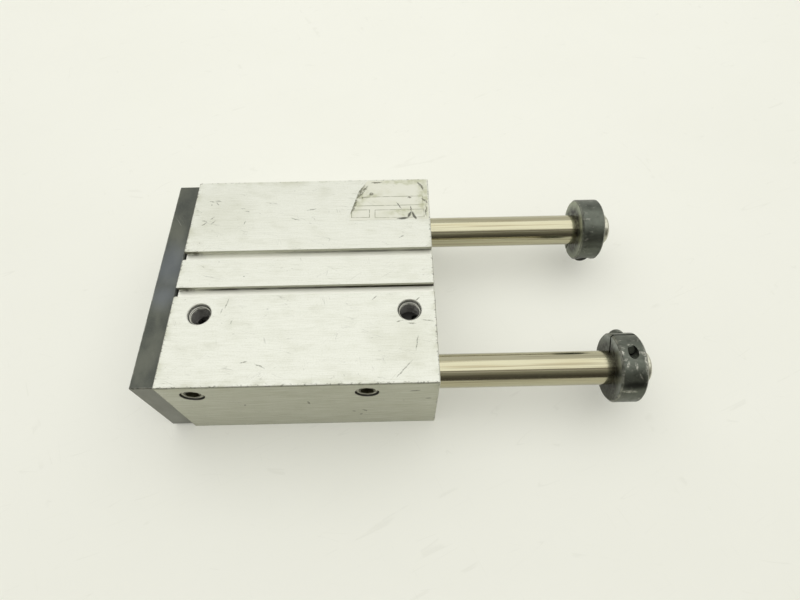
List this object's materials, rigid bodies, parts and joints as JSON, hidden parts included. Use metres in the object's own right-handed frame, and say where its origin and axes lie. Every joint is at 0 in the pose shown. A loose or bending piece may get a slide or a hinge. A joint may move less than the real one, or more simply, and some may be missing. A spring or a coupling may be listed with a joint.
{
  "type": "guided pneumatic cylinder",
  "caption": "Compact pneumatic cylinder in a flat aluminium block, guided by two rods that carry a steel tool plate at the front and clamp-on stop collars at the rear.",
  "frame": {"origin": "middle of the four mounting holes in the block's underside, which is also the middle of that face", "axes": "+X along the stroke from the tool plate to the stop collars, +Z out of the block's top face with its air ports and sensor slots, +Y away from the block's port side"},
  "size_m": [0.2859, 0.1428, 0.0645],
  "materials": {
    "anodised_aluminium": "clear anodised, satin, fine lines along the extrusion",
    "turned_aluminium": "turned",
    "dark_steel": "dark phosphated steel plate, satin",
    "black_steel": "black oxide, oiled",
    "screw_steel": "black oxide",
    "plug_steel": "zinc plated",
    "hard_chrome": "ground and hard chrome plated",
    "spring_steel": "phosphated spring steel",
    "bronze": "sintered bronze",
    "nitrile": "black nitrile",
    "polyurethane": "polyurethane",
    "bearing_plastic": "filled acetal",
    "magnet": "plastic-bonded magnet"
  },
  "bodies": {
    "housing": {"cylinder_body": "anodised_aluminium", "front_gland": "turned_aluminium", "rear_cap": "turned_aluminium", "gland_o_ring": "nitrile", "cap_o_ring": "nitrile", "gland_retaining_ring": "spring_steel", "cap_retaining_ring": "spring_steel", "rod_wiper": "polyurethane", "rod_seal": "polyurethane", "rod_bush": "bronze", "front_bumper": "polyurethane", "rear_bumper": "polyurethane", "guide_bush_front_near": "bronze", "guide_bush_front_far": "bronze", "guide_bush_rear_near": "bronze", "guide_bush_rear_far": "bronze", "guide_wiper_front_near": "nitrile", "guide_wiper_front_far": "nitrile", "guide_wiper_rear_near": "nitrile", "guide_wiper_rear_far": "nitrile", "side_port_plugs": "plug_steel", "gallery_stopper": "plug_steel"},
    "carriage": {"tool_plate": "dark_steel", "guide_rod_near": "hard_chrome", "guide_rod_far": "hard_chrome", "piston_rod": "hard_chrome", "plate_screws": "screw_steel", "piston": "turned_aluminium", "piston_seal_front": "nitrile", "piston_seal_rear": "nitrile", "wear_ring": "bearing_plastic", "magnet_ring": "magnet", "piston_screw": "screw_steel", "piston_o_ring": "nitrile", "stop_collar_near": "black_steel", "stop_collar_far": "black_steel", "collar_clamp_screws": "screw_steel"}
  },
  "joints": [
    {"name": "stroke_slide", "type": "slide", "parent": "housing", "child": "carriage", "axis": [-1, 0, 0], "range_m": [0, 0.1]}
  ]
}
